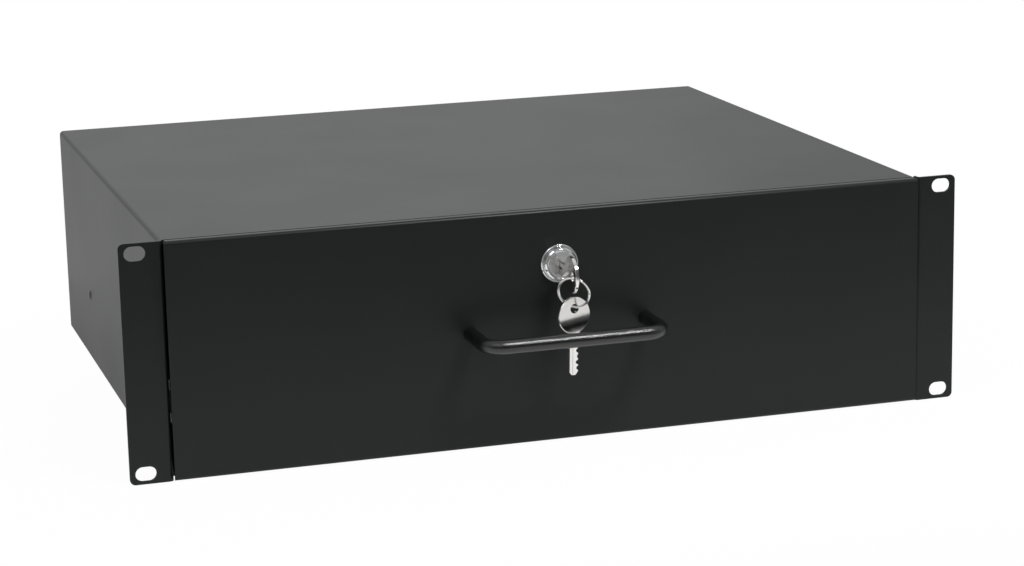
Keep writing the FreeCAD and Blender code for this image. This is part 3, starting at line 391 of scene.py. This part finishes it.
zinc = rolled_metal("bright_zinc", ZINC, ZINC_ROUGHNESS)


def zinc_plated(node, body):
    """A strip part or fastener with its zinc."""
    finished(node + "_plated", node, body, zinc, STRIP_ROUNDING)


zinc_plated("lock_strike", "chassis")


# ---------- slides ----------
# Each slide is two strips of 1.2 mm steel with curled lips, zinc-plated. One is riveted to
# the chassis and one to the tray, and two rows of steel balls in a cage roll between them.
BALL_COLOUR, BALL_ROUGHNESS = (0.8, 0.8, 0.81), 0.12

ball_steel = rolled_metal("polished_ball_steel", BALL_COLOUR, BALL_ROUGHNESS)
for side in ("left", "right"):
    zinc_plated("slide_outer_" + side, "chassis")
    zinc_plated("ball_cage_" + side, side + "_balls")
    zinc_plated("slide_inner_" + side, "drawer")
    surfaced("slide_balls_" + side, ball_steel)
zinc_plated("inner_slide_rivets", "drawer")


# ---------- drawer tray ----------
# Folded from 1.2 mm steel sheet with hemmed upper edges and welded corner tabs, and coated
# like the chassis. The inner slide members are riveted to its sides.
TRAY_ROUNDING = 0.0002

finished("coated_tray", "drawer_tray", "drawer", black_coat, TRAY_ROUNDING)


# ---------- drawer front ----------
# A 1.5 mm steel panel with shallow flanges folded back along its top and bottom. It is
# spot-welded to the tray's front wall and coated with it.
finished("front_panel", "drawer_front", "drawer", black_coat, COAT_ROUNDING)


# ---------- handle ----------
# An 8 mm steel bar, bent twice, in a glossy black coat with a fine texture. Screws from
# inside the tray hold its two feet against the front panel.
HANDLE_BEND = 0.011                # to the middle of the bar
BAR_SIDES, BEND_STEPS = 32, 16
FOOT_ROUNDING = 0.0004
HANDLE_DARK, HANDLE_LIGHT = (0.0030, 0.0035, 0.0033), (0.0050, 0.0058, 0.0055)
HANDLE_ROUGHNESS, HANDLE_SPECULAR = 0.24, 0.8
TEXTURE_SCALE, TEXTURE_DEPTH = 1900, 0.0004
QUARTER = radians(90)


def section(shape, radius, flatness, centre, sides):
    """A bar's section, round or flattened, facing along Y."""
    loop = bmesh.ops.create_circle(shape, segments=sides, radius=radius)["verts"]
    bmesh.ops.scale(shape, verts=loop, vec=(1, flatness, 1))
    bmesh.ops.rotate(shape, verts=loop, cent=(0, 0, 0), matrix=Matrix.Rotation(QUARTER, 3, "X"))
    bmesh.ops.translate(shape, verts=loop, vec=centre)
    return list({edge for vert in loop for edge in vert.link_edges})


def drawn(shape, end, vector):
    """Carry the open end of a bar straight on."""
    grown = bmesh.ops.extrude_edge_only(shape, edges=end)["geom"]
    verts = [part for part in grown if isinstance(part, bmesh.types.BMVert)]
    bmesh.ops.translate(shape, verts=verts, vec=vector)
    return [part for part in grown if isinstance(part, bmesh.types.BMEdge) and len(part.link_faces) == 1]


def bent(shape, end, centre, axis, angle, steps, rise=(0, 0, 0)):
    """Carry the open end of a bar round a bend."""
    step = [part / steps for part in rise]
    last = bmesh.ops.spin(shape, geom=end, cent=centre, axis=axis, dvec=step, angle=angle,
                          steps=steps)["geom_last"]
    return [part for part in last if isinstance(part, bmesh.types.BMEdge)]


def closed_ends(shape):
    """Cap the open ends and turn all faces outwards."""
    rims = [edge for edge in shape.edges if len(edge.link_faces) == 1]
    bmesh.ops.holes_fill(shape, edges=rims, sides=0)
    bmesh.ops.recalc_face_normals(shape, faces=shape.faces)


low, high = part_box("handle")
bar_radius = (high.z - low.z) / 2
half_span = (high.x - low.x) / 2 - bar_radius
grip = low.y + bar_radius
straight = half_span - HANDLE_BEND
leg = high.y - grip - HANDLE_BEND
bar = bmesh.new()
end = section(bar, bar_radius, 1, (-half_span, high.y, 0), BAR_SIDES)
end = drawn(bar, end, (0, -leg, 0))
end = bent(bar, end, (-straight, grip + HANDLE_BEND, 0), (0, 0, 1), QUARTER, BEND_STEPS)
end = drawn(bar, end, (2 * straight, 0, 0))
end = bent(bar, end, (straight, grip + HANDLE_BEND, 0), (0, 0, 1), QUARTER, BEND_STEPS)
drawn(bar, end, (0, leg, 0))
closed_ends(bar)
bmesh.ops.translate(bar, verts=bar.verts, vec=(0, 0, (low.z + high.z) / 2))
handle_coat = powder_coat("textured_black_coat", (HANDLE_DARK, HANDLE_LIGHT), HANDLE_ROUGHNESS,
                          HANDLE_SPECULAR, TEXTURE_SCALE, TEXTURE_DEPTH)
handle = new_piece("bent_bar_handle", bar, "handle", "drawer", handle_coat)
round_edges(handle, FOOT_ROUNDING)


# ---------- handle screws and washers ----------
# Zinc-plated steel. Each screw passes through a washer, the tray's front wall and the front
# panel into a foot of the handle.
for node in ("handle_screws", "handle_washers"):
    zinc_plated(node, "drawer")


# ---------- lock housing and nut ----------
# A die-cast zinc bezel and flatted barrel, polished and chromed. A zinc-plated steel nut
# clamps the front panel and the tray's front wall between them.
CHROME, CHROME_ROUGHNESS = (0.86, 0.87, 0.88), 0.1
HAZE_SCALE, HAZE_DETAIL, HAZE_SHADE = 260, 5, 0.9
HAZE_SPREAD, SMOOTHEST = 0.04, 0.02
LOCK_ROUNDING = 0.0002


def polished_plating(name, colour, roughness):
    """Polished plating with faint rubbing marks."""
    plating, tree, shader, spot = new_finish(name)
    shader.inputs["Metallic"].default_value = 1.0
    haze = noise(tree, spot, HAZE_SCALE, HAZE_DETAIL)
    two_tones(tree, shader, haze, [part * HAZE_SHADE for part in colour], colour)
    uneven_gloss(tree, shader, haze, max(roughness - HAZE_SPREAD, SMOOTHEST), roughness + HAZE_SPREAD)
    return plating


chrome = polished_plating("lock_chrome", CHROME, CHROME_ROUGHNESS)
finished("chromed_housing", "lock_housing", "drawer", chrome, LOCK_ROUNDING)
zinc_plated("lock_nut", "drawer")


# ---------- lock plug and wafers ----------
# The chromed plug turns in the housing, and its face is duller where keys rub it. Five brass
# wafers, each with a steel spring, stand in its slots.
PLUG_CHROME, PLUG_ROUGHNESS = (0.92, 0.92, 0.92), 0.18
BRASS, BRASS_ROUGHNESS = (0.72, 0.52, 0.2), 0.35

worn_chrome = polished_plating("plug_worn_by_keys", PLUG_CHROME, PLUG_ROUGHNESS)
finished("chromed_plug", "lock_plug", "lock_cylinder", worn_chrome, LOCK_ROUNDING)
surfaced("lock_wafers", rolled_metal("wafer_brass", BRASS, BRASS_ROUGHNESS))
surfaced("wafer_springs", ball_steel)


# ---------- lock cam ----------
# A zinc-plated steel bar on the plug's square end, held by a spring washer and a hexagon
# screw. It points aside while the drawer is unlocked.
for node in ("lock_cam", "cam_washer", "cam_screw"):
    zinc_plated(node, "lock_cylinder")


# ---------- keys ----------
# Stamped brass, nickel-plated and polished. One stands in the lock, and the spare hangs from
# the ring behind the handle's bar.
NICKEL, NICKEL_ROUGHNESS = (0.86, 0.85, 0.83), 0.14

nickel = polished_plating("key_nickel", NICKEL, NICKEL_ROUGHNESS)
for node, body in (("lock_key", "lock_cylinder"), ("spare_key", "hanging_key")):
    finished(node + "_plated", node, body, nickel, LOCK_ROUNDING)


# ---------- split ring ----------
# Two turns of flattened steel wire side by side, nickel-plated. The wire steps from one turn
# to the other between its two ends, and the ring hangs through the bows of both keys.
RING_YAW, RING_TILT = radians(37), radians(14)
WIRE_HALF_HIGH, WIRE_HALF_DEEP = 0.00065, 0.0003
WIRE_SIDES = 16
TURN_ANGLE, TURN_STEPS = radians(300), 60
STEP_ANGLE, STEP_STEPS = radians(60), 12

low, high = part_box("split_ring")
ring_radius = (high.z - low.z) / 2 / cos(RING_TILT) - WIRE_HALF_HIGH
hub, axle = (0, 0, 0), (0, 1, 0)
ring = bmesh.new()
end = section(ring, WIRE_HALF_HIGH, WIRE_HALF_DEEP / WIRE_HALF_HIGH, hub, WIRE_SIDES)
bmesh.ops.rotate(ring, verts=ring.verts, cent=hub, matrix=Matrix.Rotation(QUARTER, 3, "X"))
bmesh.ops.translate(ring, verts=ring.verts, vec=(ring_radius, -WIRE_HALF_DEEP, 0))
end = bent(ring, end, hub, axle, TURN_ANGLE, TURN_STEPS)
end = bent(ring, end, hub, axle, STEP_ANGLE, STEP_STEPS, (0, 2 * WIRE_HALF_DEEP, 0))
bent(ring, end, hub, axle, TURN_ANGLE, TURN_STEPS)
closed_ends(ring)
hanging = Matrix.Rotation(-RING_YAW, 3, "Z") @ Matrix.Rotation(RING_TILT, 3, "X")
bmesh.ops.rotate(ring, verts=ring.verts, cent=hub, matrix=hanging)
bmesh.ops.translate(ring, verts=ring.verts, vec=(low + high) / 2)
new_piece("coiled_split_ring", ring, "split_ring", "key_ring", nickel)
